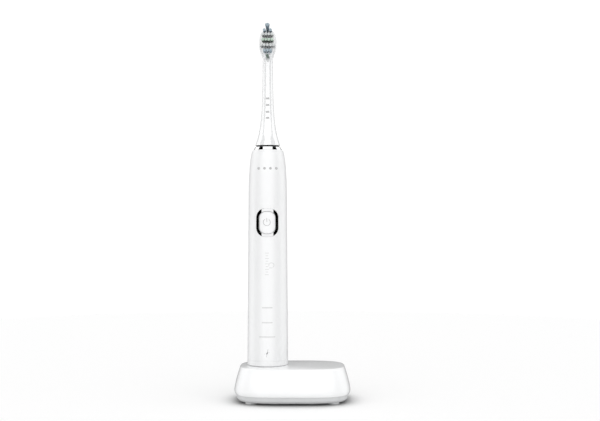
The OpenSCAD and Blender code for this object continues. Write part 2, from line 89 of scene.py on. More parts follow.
# Charging base: half width, half depth and squareness of its plan, then heights and walls.
BASE_A = base_hi[0]
BASE_B = base_hi[1]
BASE_POWER = 3.4
LIP_Z = base_lo[2]
POST_TOP = base_hi[2]
REST_GAP = 0.15
BASE_TOP = cap_lo[2] - REST_GAP
POST_R = 5.0
WALL = 2.0
BELLY_Z = 9.0
TOP_EDGE_Z = BASE_TOP - 1.5
SIDE_LEAN = 3.9
CROWN = 0.6
PAD_R = 4.2
SCREW_HEAD_R = 2.4
GLAND_X = (gland_lo[0] + gland_hi[0]) / 2
GLAND_Z = (gland_lo[2] + gland_hi[2]) / 2
GLAND_R = 3.2
CORD_BORE_R = 1.9

# Handle, from its foot to the collar.
SEAM_Z = shell_lo[2]
HANDLE_TOP = shell_hi[2]
HANDLE_Z = cap_lo[2]
FOOT_R = cap_hi[0] - AXIS_X
WAIST_R = 13.9
SHOULDER_Z = HANDLE_TOP - 36
COLLAR_R0 = 10.3
COLLAR_R1 = 8.9
HANDLE_WALL = 1.8

# Brush head: neck, then the platform that holds the tufts.
NECK_Z = head_lo[2]
HEAD_TOP = head_hi[2]
NECK_R = 3.6
NECK_FOOT_R = head_hi[0] - AXIS_X
NECK_FALL = 13.5
PLATFORM_Z0 = HEAD_TOP - 24
PLATFORM_WIDE_Z0 = HEAD_TOP - 12
PLATFORM_WIDE_Z1 = HEAD_TOP - 9.8
PLATFORM_HALF = 6.25
PLATFORM_FRONT = -2.2
PLATFORM_BACK = 2.0

# Power button with its flange, and the bezel round it.
FLANGE = 0.8
BUTTON_Z = (button_lo[2] + button_hi[2]) / 2
BUTTON_W = button_hi[0] - button_lo[0] - 2 * FLANGE
BUTTON_H = button_hi[2] - button_lo[2] - 2 * FLANGE
BUTTON_CORNER = 4.7
BEZEL_W = bezel_hi[0] - bezel_lo[0]
BEZEL_H = bezel_hi[2] - bezel_lo[2]
BEZEL_CORNER = 6.4
BEZEL_FRONT_R = -bezel_lo[1]
BUTTON_FRONT_R = -button_lo[1]

# Rows of straight tufts from the bottom up, and the one that leans out over the tip.
TUFT_R = 1.05
ROW_ZS = [249.5, 253.4, 257.2, 261.1, 265.0, 268.0]
ROW_TUFTS = [1, 3, 5, 4, 4, 2]
ROW_PITCHES = [2.2, 2.2, 2.2, 2.2, 2.2, 4.4]
ROW_COLOURS = ["green", "blue", "white", "green", "white", "blue"]
TIP_TUFT_Z = 268.0
TIP_LEAN = math.radians(24)
BRISTLE_LEN = PLATFORM_FRONT - tufts_lo[1]

# Camera: sensor, focal length and place. Then the white behind the object, and how far
# the two soft shades on the tabletop reach.
SENSOR = 36
LENS = 64.8
CAMERA_AT = (5.5, -788, 138)
BACKDROP = 1.05
CONTACT_SHADE = 14
POOL_SHADE = 90


def side_inset(z):
    """How far the side of the base stands in from its widest line."""
    if z < BELLY_Z:
        return 0.9 * ((BELLY_Z - z) / (BELLY_Z - LIP_Z)) ** 2
    return SIDE_LEAN * ((z - BELLY_Z) / (TOP_EDGE_Z - BELLY_Z)) ** 1.35


def handle_r(z):
    """Radius of the handle: a slight taper, then a shoulder that rolls in."""
    if z < SHOULDER_Z:
        return FOOT_R - (FOOT_R - WAIST_R) * (z - HANDLE_Z) / (SHOULDER_Z - HANDLE_Z)
    t = (z - SHOULDER_Z) / (HANDLE_TOP - SHOULDER_Z)
    return COLLAR_R0 + (WAIST_R - COLLAR_R0) * math.sqrt(max(0.0, 1 - t**2.2))


def neck_r(z):
    return NECK_R + (NECK_FOOT_R - NECK_R) * math.exp(-(z - NECK_Z) / NECK_FALL)


def button_r(z):
    """Radius of the button's face, the same all the way up."""
    return BUTTON_FRONT_R


def platform_half(z):
    """Half width of the bristle platform."""
    low = NECK_R - 0.2
    if z < PLATFORM_WIDE_Z0:
        turn = math.pi * (z - PLATFORM_Z0) / (PLATFORM_WIDE_Z0 - PLATFORM_Z0)
        return low + (PLATFORM_HALF - low) * (0.5 - 0.5 * math.cos(turn))
    t = max(0.0, z - PLATFORM_WIDE_Z1) / (HEAD_TOP - PLATFORM_WIDE_Z1)
    return PLATFORM_HALF * math.sqrt(max(0.0, 1 - t**3))


# ---------------------------------------------------------------- mesh helpers


def smoothstep(low, high, value):
    t = min(1.0, max(0.0, (value - low) / (high - low)))
    return t * t * (3 - 2 * t)


def steps(start, end, count):
    """Evenly spaced values, both ends included."""
    return [start + (end - start) * i / count for i in range(count + 1)]


def new_object(name, verts, faces, sharp=35):
    """A smooth-shaded mesh from millimetre points, with its hard edges marked."""
    mesh = bpy.data.meshes.new(name)
    mesh.from_pydata([(x * MM, y * MM, z * MM) for x, y, z in verts], [], faces)
    work = bmesh.new()
    work.from_mesh(mesh)
    bmesh.ops.remove_doubles(work, verts=work.verts, dist=1e-7)
    bmesh.ops.recalc_face_normals(work, faces=work.faces)
    work.to_mesh(mesh)
    work.free()
    obj = bpy.data.objects.new(name, mesh)
    bpy.context.scene.collection.objects.link(obj)
    shade_smooth(obj, sharp)
    return obj


def shade_smooth(obj, sharp=35):
    """Smooth shading, with edges sharper than the given angle kept hard."""
    work = bmesh.new()
    work.from_mesh(obj.data)
    limit = math.radians(sharp)
    for face in work.faces:
        face.smooth = True
    for edge in work.edges:
        edge.smooth = len(edge.link_faces) == 2 and edge.calc_face_angle(0) < limit
    work.to_mesh(obj.data)
    work.free()


def rounded(points, closed=False):
    """Turns corners [a, b, radius] of a line into arcs; a radius of 0 keeps the corner."""
    made = []
    count = len(points)
    for i, (a, b, radius) in enumerate(points):
        at_end = not closed and i in (0, count - 1)
        if at_end or radius == 0:
            made.append((a, b))
            continue
        corner = Vector((a, b))
        before = Vector(points[i - 1][:2]) - corner
        after = Vector(points[(i + 1) % count][:2]) - corner
        half = before.angle(after) / 2
        reach = min(radius / math.tan(half), 0.49 * before.length, 0.49 * after.length)
        start = corner + before.normalized() * reach
        end = corner + after.normalized() * reach
        for t in steps(0, 1, 6):
            made.append(tuple((1 - t) ** 2 * start + 2 * t * (1 - t) * corner + t * t * end))
    return made


def rings_mesh(rings, cap_start=False, cap_end=False, loop=False):
    """Vertices and faces that join rings with the same number of points."""
    count = len(rings[0])
    verts = [p for ring in rings for p in ring]
    faces = []
    last = len(rings) if loop else len(rings) - 1
    for i in range(last):
        a = i * count
        b = ((i + 1) % len(rings)) * count
        for j in range(count):
            k = (j + 1) % count
            faces.append((a + j, a + k, b + k, b + j))
    if cap_start:
        faces.append(tuple(reversed(range(count))))
    if cap_end:
        faces.append(tuple(range(len(verts) - count, len(verts))))
    return verts, faces


def circle_ring(radius, z, centre=(0.0, 0.0), count=160):
    radius = max(radius, 1e-3)
    turns = [2 * math.pi * i / count for i in range(count)]
    return [
        (centre[0] + radius * math.cos(t), centre[1] + radius * math.sin(t), z)
        for t in turns
    ]


def lathe(name, profile, loop=True, centre=None, count=160, sharp=35):
    """A turned piece from (radius, height) points about the brush axis or a given one."""
    centre = centre or (AXIS_X, 0.0)
    rings = [circle_ring(r, z, centre, count) for r, z in profile]
    verts, faces = rings_mesh(rings, loop=loop)
    return new_object(name, verts, faces, sharp)


def cut(obj, cutters, sharp=35):
    """Takes the cutters away from obj for good, and keeps it smooth."""
    for cutter in cutters:
        cutter.hide_render = True
        step = obj.modifiers.new("cut", "BOOLEAN")
        step.operation = "DIFFERENCE"
        step.solver = "EXACT"
        step.object = cutter
    seen = bpy.context.evaluated_depsgraph_get()
    made = bpy.data.meshes.new_from_object(obj.evaluated_get(seen))
    obj.modifiers.clear()
    obj.data = made
    for cutter in cutters:
        bpy.data.objects.remove(cutter)
    shade_smooth(obj, sharp)
    return obj


def rounded_rect(width, height, corner, count=96):
    """Points of a rounded rectangle, matched by angle between outlines of any size."""
    corner = min(corner, width / 2 - 0.01, height / 2 - 0.01)
    points = []
    per_corner = count // 4
    for quarter, (sx, sz) in enumerate([(1, 1), (-1, 1), (-1, -1), (1, -1)]):
        cx = sx * (width / 2 - corner)
        cz = sz * (height / 2 - corner)
        for i in range(per_corner):
            t = (quarter + i / (per_corner - 1)) * math.pi / 2
            points.append((cx + corner * math.cos(t), cz + corner * math.sin(t)))
    return points


def on_barrel(outline, radius, z):
    """Bends a flat outline round the front of a barrel about the brush axis."""
    return [
        (AXIS_X + x, -math.sqrt(max(radius**2 - x**2, 0.01)), z + dz) for x, dz in outline
    ]


def flat_front(outline, y, z):
    return [(AXIS_X + x, y, z + dz) for x, dz in outline]


# ---------------------------------------------------------------- materials


class Nodes:
    """A short way to add and join shader nodes."""

    def __init__(self, tree):
        self.tree = tree
        tree.nodes.clear()

    def add(self, kind, **settings):
        node = self.tree.nodes.new(kind)
        for key, value in settings.items():
            setattr(node, key, value)
        return node

    def join(self, source, target):
        self.tree.links.new(source, target)

    def value(self, target, source):
        """Sets a socket to a number, or joins another socket to it."""
        if isinstance(source, bpy.types.NodeSocket):
            self.join(source, target)
        else:
            target.default_value = source

    def math(self, operation, a, b=0.0, clamp=False):
        node = self.add("ShaderNodeMath", operation=operation, use_clamp=clamp)
        self.value(node.inputs[0], a)
        self.value(node.inputs[1], b)
        return node.outputs[0]

    def ramp(self, value, low, high, start=0.0, end=1.0):
        """Smooth change from start to end as value goes from low to high."""
        node = self.add("ShaderNodeMapRange", interpolation_type="SMOOTHSTEP")
        self.value(node.inputs["Value"], value)
        node.inputs["From Min"].default_value = low
        node.inputs["From Max"].default_value = high
        node.inputs["To Min"].default_value = start
        node.inputs["To Max"].default_value = end
        return node.outputs["Result"]

    def mix(self, factor, a, b):
        node = self.add("ShaderNodeMix", data_type="RGBA")
        self.value(node.inputs["Factor"], factor)
        self.value(node.inputs["A"], a)
        self.value(node.inputs["B"], b)
        return node.outputs["Result"]


def rgba(colour):
    return (*colour, 1.0)


def object_point(nodes, stretch=(1.0, 1.0, 1.0)):
    """Object coordinates in millimetres, stretched along the axes."""
    place = nodes.add("ShaderNodeTexCoord")
    scale = nodes.add("ShaderNodeMapping")
    scale.inputs["Scale"].default_value = [s / MM for s in stretch]
    nodes.join(place.outputs["Object"], scale.inputs["Vector"])
    return scale.outputs["Vector"]


def noise(nodes, point, scale, detail=3.0, rough=0.5):
    node = nodes.add("ShaderNodeTexNoise")
    nodes.join(point, node.inputs["Vector"])
    node.inputs["Scale"].default_value = scale
    node.inputs["Detail"].default_value = detail
    node.inputs["Roughness"].default_value = rough
    return node.outputs["Fac"]


def bump(nodes, height, strength, depth_mm):
    node = nodes.add("ShaderNodeBump")
    node.inputs["Strength"].default_value = strength
    node.inputs["Distance"].default_value = depth_mm * MM
    nodes.join(height, node.inputs["Height"])
    return node.outputs["Normal"]


def surface(nodes, colour, roughness, normal=None, **inputs):
    """The principled surface and the material output."""
    shader = nodes.add("ShaderNodeBsdfPrincipled")
    nodes.value(shader.inputs["Base Color"], colour)
    nodes.value(shader.inputs["Roughness"], roughness)
    if normal:
        nodes.join(normal, shader.inputs["Normal"])
    for key, value in inputs.items():
        shader.inputs[key.replace("_", " ")].default_value = value
    out = nodes.add("ShaderNodeOutputMaterial")
    nodes.join(shader.outputs["BSDF"], out.inputs["Surface"])
    return shader


def new_material(name):
    material = bpy.data.materials.new(name)
    material.use_nodes = True
    return material, Nodes(material.node_tree)


def finish_of(name, colour, rough, vary=0.04, grain=0.6, depth=0.01, stretch=(1, 1, 1), **inputs):
    """A moulded or machined finish: cloudy colour, uneven gloss and a fine grain."""
    material, nodes = new_material(name)
    point = object_point(nodes, stretch)
    cloud = noise(nodes, point, 0.12, 2.0)
    fine = noise(nodes, point, grain, 4.0, 0.6)
    darker = rgba([c * (1 - vary) for c in colour])
    tint = nodes.mix(nodes.ramp(cloud, 0.3, 0.7), darker, rgba(colour))
    gloss = nodes.ramp(fine, 0.25, 0.75, rough * 0.85, min(1.0, rough * 1.2))
    normal = bump(nodes, fine, 0.25, depth)
    surface(nodes, tint, gloss, normal, **inputs)
    return material


def gloss_white(name, colour, rough, index=2.1):
    """White gloss plastic with a faint moulded ripple."""
    material, nodes = new_material(name)
    point = object_point(nodes)
    ripple = noise(nodes, point, 0.05, 1.0)
    fine = noise(nodes, point, 1.8, 2.0)
    low = rgba([c * 0.992 for c in colour])
    tint = nodes.mix(nodes.ramp(ripple, 0.35, 0.65), low, rgba(colour))
    gloss = nodes.ramp(fine, 0.3, 0.7, rough * 0.8, rough * 1.25)
    normal = bump(nodes, ripple, 0.04, 0.05)
    surface(nodes, tint, gloss, normal, IOR=index)
    return material


def winding(name, colour, pitch):
    """Enamelled wire laid in turns one above the other."""
    material, nodes = new_material(name)
    point = object_point(nodes)
    wave = nodes.add("ShaderNodeTexWave", wave_type="BANDS", bands_direction="Z")
    nodes.join(point, wave.inputs["Vector"])
    # At a scale of 1 the bands of this texture lie 0.314 units apart.
    wave.inputs["Scale"].default_value = 0.314 / pitch
    wave.inputs["Distortion"].default_value = 0.15
    # The darker half of each band is painted shade in the groove between neighbouring turns.
    groove_shade = nodes.mix(wave.outputs["Fac"], rgba([c * 0.45 for c in colour]), rgba(colour))
    normal = bump(nodes, wave.outputs["Fac"], 0.8, pitch * 0.3)
    surface(nodes, groove_shade, 0.3, normal, Metallic=0.9)
    return material


def board_green(name):
    """Solder mask with faint tracks under it."""
    material, nodes = new_material(name)
    point = object_point(nodes)
    cells = nodes.add("ShaderNodeTexVoronoi", feature="DISTANCE_TO_EDGE", distance="MANHATTAN")
    nodes.join(point, cells.inputs["Vector"])
    cells.inputs["Scale"].default_value = 0.35
    track = nodes.ramp(cells.outputs["Distance"], 0.04, 0.09)
    tint = nodes.mix(track, rgba((0.1, 0.34, 0.16)), rgba((0.02, 0.15, 0.07)))
    normal = bump(nodes, track, 0.3, 0.03)
    surface(nodes, tint, 0.3, normal)
    return material


def filament(name, tip, root):
    """Nylon filaments, pale at the tip and darker behind it, where the darker tone is painted
    shade between the tufts; the lowest tuft stays dark.
    """
    material, nodes = new_material(name)
    point = object_point(nodes)
    parts = nodes.add("ShaderNodeSeparateXYZ")
    nodes.join(point, parts.inputs["Vector"])
    tips = PLATFORM_FRONT - BRISTLE_LEN
    # The root colour mixed in behind the tips is painted shade: it stands for the shadow deep
    # between the tufts.
    along = nodes.ramp(parts.outputs["Y"], tips + 0.4, tips + 2.5, 0.0, 1.0)
    streak = noise(nodes, point, 2.5, 2.0)
    lowest = nodes.ramp(parts.outputs["Z"], ROW_ZS[0] + 1.4, ROW_ZS[0] + 2.2, 0.85, 0.0)
    packed = nodes.math("ADD", along, lowest)
    mixed = nodes.math("ADD", packed, nodes.ramp(streak, 0.3, 0.7, -0.12, 0.12), clamp=True)
    tint = nodes.mix(mixed, rgba(tip), rgba(root))
    surface(nodes, tint, 0.45, None, IOR=1.53)
    return material


def print_ink(name, colour):
    """Thin grey ink, a little uneven in tone."""
    material, nodes = new_material(name)
    point = object_point(nodes)
    fine = noise(nodes, point, 3.0, 3.0)
    low = rgba([c * 0.9 for c in colour])
    tint = nodes.mix(nodes.ramp(fine, 0.35, 0.65), low, rgba(colour))
    surface(nodes, tint, 0.35, bump(nodes, fine, 0.1, 0.005))
    return material


def brushed(name, colour, rough, stretch):
    """Metal with fine lines along one direction."""
    return finish_of(
        name, colour, rough, vary=0.12, grain=2.2, depth=0.01, stretch=stretch, Metallic=1.0
    )


WHITE_SHELL = gloss_white("white_shell", (0.885, 0.89, 0.895), 0.35)
WHITE_BASE = gloss_white("white_base", (0.92, 0.925, 0.93), 0.2, 1.6)
WHITE_HEAD = gloss_white("white_head", (0.93, 0.935, 0.94), 0.06, 2.6)
GREY_PLINTH = finish_of("grey_plinth", (0.68, 0.69, 0.695), 0.45, grain=1.5)
LIGHT_RUBBER = finish_of("light_rubber", (0.8, 0.81, 0.81), 0.7, grain=1.1, depth=0.03)
# Near-black rubber with a weak gloss: the seal's own colour, and painted shade for the gap between
# collar and head.
BLACK_RUBBER_AND_GAP_SHADE = finish_of(
    "dark_rubber", (0.012, 0.012, 0.013), 0.6, grain=1.1, depth=0.03, Specular_IOR_Level=0.1
)
CHROME = finish_of("chrome_trim", (0.9, 0.905, 0.91), 0.03, 0.01, 1.0, 0.001, Metallic=1.0)
BY_SLOT = {
    "white_shell": WHITE_SHELL,
    "grey_plinth": GREY_PLINTH,
    "light_rubber": LIGHT_RUBBER,
    "dark_rubber": BLACK_RUBBER_AND_GAP_SHADE,
    "chrome_trim": CHROME,
    "steel": brushed("steel", (0.62, 0.63, 0.65), 0.28, (1, 1, 0.06)),
    "copper_wire": winding("copper_wire", (0.75, 0.36, 0.18), 0.25),
    "natural_nylon": finish_of("natural_nylon", (0.82, 0.79, 0.7), 0.45, depth=0.02),
    "ferrite": finish_of("ferrite", (0.05, 0.05, 0.055), 0.6, vary=0.2, depth=0.04),
    "lamination": brushed("lamination", (0.3, 0.31, 0.33), 0.4, (0.06, 0.06, 2.5)),
    "magnet": brushed("magnet", (0.55, 0.56, 0.58), 0.25, (1, 1, 0.2)),
    "circuit_board": board_green("circuit_board"),
    "electronic_parts": finish_of("electronic_parts", (0.03, 0.03, 0.035), 0.4, vary=0.2),
    "lamp": finish_of("lamp", (0.9, 0.86, 0.6), 0.25, vary=0.08),
    "clear_plastic": finish_of("clear_plastic", (0.85, 0.88, 0.9), 0.4, vary=0.03),
    "black_plastic": finish_of("black_plastic", (0.02, 0.02, 0.022), 0.4, vary=0.2),
    "red_plastic": finish_of("red_plastic", (0.55, 0.06, 0.05), 0.35, vary=0.1),
    "cell_wrap": finish_of("cell_wrap", (0.08, 0.24, 0.5), 0.25, vary=0.1, depth=0.02),
    "bronze": brushed("bronze", (0.6, 0.42, 0.2), 0.4, (1, 1, 0.3)),
    # The second colour of each bristle finish is the painted shade between the tufts; the first is
    # the colour of the tips.
    "bristle_white": filament("bristle_white", (0.68, 0.7, 0.7), (0.42, 0.43, 0.43)),
    "bristle_green": filament("bristle_green", (0.55, 0.67, 0.58), (0.09, 0.13, 0.105)),
    "bristle_blue": filament("bristle_blue", (0.42, 0.5, 0.55), (0.26, 0.33, 0.38)),
}
FAINT_INK = print_ink("faint_ink", (0.5, 0.5, 0.5))
SOFT_INK = print_ink("soft_ink", (0.74, 0.74, 0.74))
MARK_INK = print_ink("mark_ink", (0.3, 0.3, 0.3))


def dress(obj, slot, material=None):
    """Gives a piece its material: the one of its slot, unless another is given."""
    obj.data.materials.clear()
    obj.data.materials.append(material or BY_SLOT[slot])
    return obj


def place(obj, body, slot, replaced=(), material=None):
    """Dresses a piece, sets it on its body and hides the CAD nodes that it stands for."""
    dress(obj, slot, material)
    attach(obj, body)
    if replaced:
        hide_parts(*replaced)
    return obj


# ---------------------------------------------------------------- charging base


def plan_ring(inset, z, count=160):
    """The plan of the base, drawn in from its widest line."""
    a = BASE_A - inset
    b = BASE_B - inset
    ring = []
    for i in range(count):
        t = 2 * math.pi * i / count
        c, s = math.cos(t), math.sin(t)
        x = a * math.copysign(abs(c) ** (2 / BASE_POWER), c)
        y = b * math.copysign(abs(s) ** (2 / BASE_POWER), s)
        ring.append((x, y, z))
    return ring


def blend_rings(first, second, share, z):
    """A ring part of the way between two others, at height z."""
    return [
        (p[0] + (q[0] - p[0]) * share, p[1] + (q[1] - p[1]) * share, z)
        for p, q in zip(first, second)
    ]


def top_rings(outer, circle_r, rim_z, top_z, count=14):
    """Rings over a slightly crowned top, from its rim to a circle round the post."""
    inner = circle_ring(circle_r, 0, (AXIS_X, 0.0))
    rings = []
    for t in steps(0, 1, count)[1:]:
        rings.append(blend_rings(outer, inner, t, top_z - (top_z - rim_z) * (1 - t) ** 2))
    return rings


def charger_shell():
    """Hollow moulding: the hollow and the bore of the post, the lip, the side, the top."""
    inner_top = BASE_TOP - 2.2
    bore = POST_R - 1.2
    rings = [circle_ring(r, POST_TOP - 1.2, (AXIS_X, 0)) for r in (0, bore)]
    rings.append(circle_ring(bore, inner_top + 0.3, (AXIS_X, 0)))
    ceiling = plan_ring(SIDE_LEAN + WALL + 2, inner_top)
    for t in steps(0, 1, 6):
        rings.append(blend_rings(circle_ring(bore + 0.3, 0, (AXIS_X, 0)), ceiling, t, inner_top))
    for z in reversed([LIP_Z, 7.3, 9, 12, 15, 18, 21, inner_top - 1]):
        rings.append(plan_ring(side_inset(z) + WALL, z))
    rings.append(plan_ring(side_inset(LIP_Z) + 0.35, LIP_Z))
    rings.append(plan_ring(side_inset(LIP_Z) + 0.1, LIP_Z + 0.1))
    for z in [6.3, 6.8, 7.3, 7.9, 8.5, 9, 10, 11, 12, 13.5, 15, 16.5, 18, 19.5, 21, 22.5, 23.7]:
        rings.append(plan_ring(side_inset(z), z))
    rim_z = BASE_TOP - CROWN
    for turn in [math.radians(d) for d in range(0, 91, 10)]:
        inset = SIDE_LEAN + 2.3 * (1 - math.cos(turn))
        rings.append(plan_ring(inset, TOP_EDGE_Z + (rim_z - TOP_EDGE_Z) * math.sin(turn)))
    rings += top_rings(rings[-1], POST_R + 0.7, rim_z, BASE_TOP)
    for turn in [math.radians(d) for d in (20, 40, 60, 80)]:
        r = POST_R + 0.7 * (1 - math.sin(turn))
        rings.append(circle_ring(r, BASE_TOP + 0.7 * (1 - math.cos(turn)), (AXIS_X, 0)))
    edge = rounded([(POST_R, BASE_TOP + 1, 0), (POST_R, POST_TOP, 1.0), (0, POST_TOP, 0)])
    rings += [circle_ring(r, z, (AXIS_X, 0)) for r, z in edge]
    verts, faces = rings_mesh(rings)
    shell = new_object("charger_shell", verts, faces)
    hole_r = GLAND_R + 0.1
    hole = [(0, 20), (hole_r, 20), (hole_r, 30), (0, 30)]
    cut(shell, [turned_along_y("gland_hole", hole, GLAND_X, GLAND_Z)])
    return place(shell, "charger", "white_shell", ["base_shell"], WHITE_BASE)


def turned_along_y(name, profile, x, z, loop=False, count=64):
    """A turned piece whose axis lies along Y; the profile is (radius, y)."""
    rings = []
    for r, y in profile:
        r = max(r, 1e-3)
        turns = [2 * math.pi * i / count for i in range(count)]
        rings.append([(x + r * math.cos(t), y, z + r * math.sin(t)) for t in turns])
    verts, faces = rings_mesh(rings, loop=loop)
    return new_object(name, verts, faces)


def charger_plinth():
    """The grey cover below the shell, with recesses for its screws."""
    low = plinth_lo[2]
    top = LIP_Z - 0.06
    outer = 1.5
    points = [(40, low, 0), (outer + 3.2, low, 0), (outer + 1.4, low + 0.6, 1.2)]
    points += [(outer + 0.3, low + 2, 1.2), (outer, top, 0.15), (outer + 2, top, 0), (40, top, 0)]
    rings = [plan_ring(inset, z) for inset, z in rounded(points)[1:-1]]
    verts, faces = rings_mesh(rings, cap_start=True, cap_end=True)
    plinth = new_object("charger_plinth", verts, faces)
    wide = SCREW_HEAD_R + 0.2
    deep = screws_lo[2] + 1.3
    recess = [(0, 0), (wide, 0), (wide, deep), (0, deep)]
    cutters = []
    for sx in (-1, 1):
        for sy in (-1, 1):
            screw = (sx * (screws_hi[0] - SCREW_HEAD_R), sy * (screws_hi[1] - SCREW_HEAD_R))
            cutters.append(lathe("screw_recess", recess, False, screw, 48))
    cut(plinth, cutters)
    return place(plinth, "charger", "grey_plinth", ["base_cover"])


def feet():
    """Four soft feet with rounded rims and a small dimple below."""
    top = plinth_lo[2] + 0.6
    outline = [(0, 0.25, 0), (1.6, 0.25, 0.2), (2.0, 0, 0.3), (PAD_R, 0, 0.5)]
    outline += [(PAD_R, top, 0), (0, top, 0)]
    verts, faces = [], []
    for sx in (-1, 1):
        for sy in (-1, 1):
            centre = (sx * (feet_hi[0] - PAD_R), sy * (feet_hi[1] - PAD_R))
            rings = [circle_ring(r, z, centre, 64) for r, z in rounded(outline)]
            more, joins = rings_mesh(rings)
            faces += [tuple(i + len(verts) for i in face) for face in joins]
            verts += more
    made = new_object("soft_feet", verts, faces)
    return place(made, "charger", "light_rubber", ["rubber_feet"])


def gland():
    """Grommet for the cord, with a rounded lip round its bore."""
    y0, y1 = gland_lo[1], gland_hi[1]
    flange = 1.2
    flange_r = GLAND_R + flange
    outline = [(CORD_BORE_R, y0, 0.2), (flange_r, y0, 0.2), (flange_r, y0 + flange, 0.2)]
    outline += [(GLAND_R, y0 + flange, 0.1), (GLAND_R, y1, 0.45), (CORD_BORE_R, y1, 0.45)]
    made = turned_along_y("cord_grommet", rounded(outline, True), GLAND_X, GLAND_Z, loop=True)
    return place(made, "charger", "light_rubber", ["cord_gland"])


# ---------------------------------------------------------------- handle


def handle_shell():
    """Hollow shell of the handle, with its opening for the bezel."""
    inner_top = HANDLE_TOP - 4
    outer = [(FOOT_R - 0.2, SEAM_Z), (handle_r(SEAM_Z) - 0.03, SEAM_Z + 0.02)]
    outer += [(handle_r(z), z) for z in steps(SEAM_Z + 0.25, SHOULDER_Z, 12)]
    rise = HANDLE_TOP - SHOULDER_Z
    for i in range(1, 31):
        z = SHOULDER_Z + rise * math.sin(math.pi / 2 * i / 30)
        outer.append((handle_r(z), z))
    neck = [(8.75, HANDLE_TOP), (8.75, inner_top)]
    inner = [(handle_r(z) - HANDLE_WALL, z) for z in reversed(steps(SEAM_Z, inner_top, 20))]
    inner[0] = (inner[0][0] - 0.6, inner_top)
    shell = lathe("handle_body", outer + neck + inner, count=256)
    opening = rounded_rect(BEZEL_W + 0.1, BEZEL_H + 0.1, BEZEL_CORNER + 0.05, 96)
    rings = [flat_front(opening, y, BUTTON_Z) for y in (-20, -6)]
    verts, faces = rings_mesh(rings, cap_start=True, cap_end=True)
    cut(shell, [new_object("opening", verts, faces)], 30)
    return place(shell, "handle", "white_shell", ["handle_shell"])


def end_cap():
    """Foot of the handle with the well that stands over the charging post."""
    well_r = POST_R + 0.4
    well_top = HANDLE_Z + POST_TOP - BASE_TOP + 0.2
    top = SEAM_Z - 0.03
    outline = [(0, well_top, 0), (well_r, well_top, 0.4), (well_r, HANDLE_Z, 0.5)]
    outline += [(FOOT_R - 0.05, HANDLE_Z, 0.25), (FOOT_R, top, 0.05), (12.7, top, 0)]
    outline += [(12.7, SEAM_Z + 1.2, 0), (11.7, SEAM_Z + 1.2, 0), (11.7, SEAM_Z + 2.7, 0)]
    outline += [(12.7, SEAM_Z + 2.7, 0), (12.7, SEAM_Z + 4, 0.3), (11.1, SEAM_Z + 4, 0.2)]
    outline += [(11.1, HANDLE_Z + 2, 0), (well_r + 1.2, HANDLE_Z + 2, 0)]
    outline += [(well_r + 1.2, well_top + 1.2, 0.2), (0, well_top + 1.2, 0)]
    made = lathe("handle_foot", rounded(outline), loop=False)
    return place(made, "handle", "white_shell", ["end_cap"])


def collar():
    """Chrome ring at the top of the handle."""
    z = HANDLE_TOP + 0.05
    hole = 6.45
    outline = [(hole, collar_lo[2], 0), (hole + 2.25, collar_lo[2], 0), (hole + 2.25, z, 0)]
    outline += [(COLLAR_R0, z, 0.08), (COLLAR_R1, collar_hi[2], 0.25), (hole, collar_hi[2], 0.1)]
    made = lathe("collar_ring", rounded(outline, True))
    return place(made, "handle", "chrome_trim", ["top_collar"])


def seal():
    """Black lip seal round the shaft, above the collar; its black is partly the seal's own and
    partly painted shade for the dark gap between the collar and the head.
    """
    bore = 1.75
    foot = collar_hi[2] + 0.02
    outline = [(bore, seal_lo[2], 0), (6.4, seal_lo[2], 0), (6.4, foot, 0)]
    outline += [(8.4, foot, 0.1), (8.3, seal_hi[2], 0.25), (3.2, seal_hi[2], 0.4)]
    outline += [(bore, seal_hi[2] - 1.2, 0.3)]
    made = lathe("lip_seal", rounded(outline, True))
    return place(made, "handle", "dark_rubber", ["shaft_seal"])


def bezel():
    """Chrome frame round the power button, gently domed across its width."""
    outer = rounded_rect(BEZEL_W, BEZEL_H, BEZEL_CORNER)
    inner = rounded_rect(BUTTON_W + 0.4, BUTTON_H + 0.4, BUTTON_CORNER + 0.2)
    face = BEZEL_FRONT_R
    section = [(0, 12.96), (0, face - 0.12), (0.015, face - 0.04), (0.04, face), (0.06, face)]
    section += [(share, face) for share in steps(0.1, 0.9, 8)]
    section += [(0.94, face), (0.96, face), (0.985, face - 0.04), (1, face - 0.12), (1, 12.96)]
    rings = []
    for share, radius in section:
        line = [
            (p[0] + (q[0] - p[0]) * share, p[1] + (q[1] - p[1]) * share)
            for p, q in zip(outer, inner)
        ]
        rings.append(on_barrel(line, radius, BUTTON_Z))
    verts, faces = rings_mesh(rings, loop=True)
    made = new_object("bezel_ring", verts, faces, 50)
    return place(made, "handle", "chrome_trim", ["button_bezel"])


def power_button():
    """The button: its post, its flange behind the bezel and its rounded face."""
    post_y = plunger_lo[1]
    rings = [flat_front(rounded_rect(0.1, 0.1, 0.05), post_y - 0.02, BUTTON_Z)]
    post = rounded_rect(3.6, 3.6, 1.8)
    rings += [flat_front(post, y, BUTTON_Z) for y in (post_y - 0.02, -12.3)]
    flange = rounded_rect(BUTTON_W + 2 * FLANGE, BUTTON_H + 2 * FLANGE, BUTTON_CORNER + 0.7)
    rings += [on_barrel(flange, r, BUTTON_Z) for r in (12.3, 12.8)]
    face = BUTTON_FRONT_R
    section = [(0, 12.8), (0, face - 0.45), (0.05, face - 0.25), (0.15, face - 0.12)]
    section += [(0.35, face - 0.04), (0.8, face - 0.01), (1.8, face), (3.4, face), (5, face)]
    for shrink, radius in section:
        corner = max(BUTTON_CORNER - shrink, 0.3)
        edge = rounded_rect(BUTTON_W - 2 * shrink, BUTTON_H - 2 * shrink, corner)
        rings.append(on_barrel(edge, radius, BUTTON_Z))
    verts, faces = rings_mesh(rings, cap_start=True, cap_end=True)
    made = new_object("button_cap", verts, faces, 50)
    return place(made, "power_button", "white_shell", ["power_button"])


# ---------------------------------------------------------------- brush head


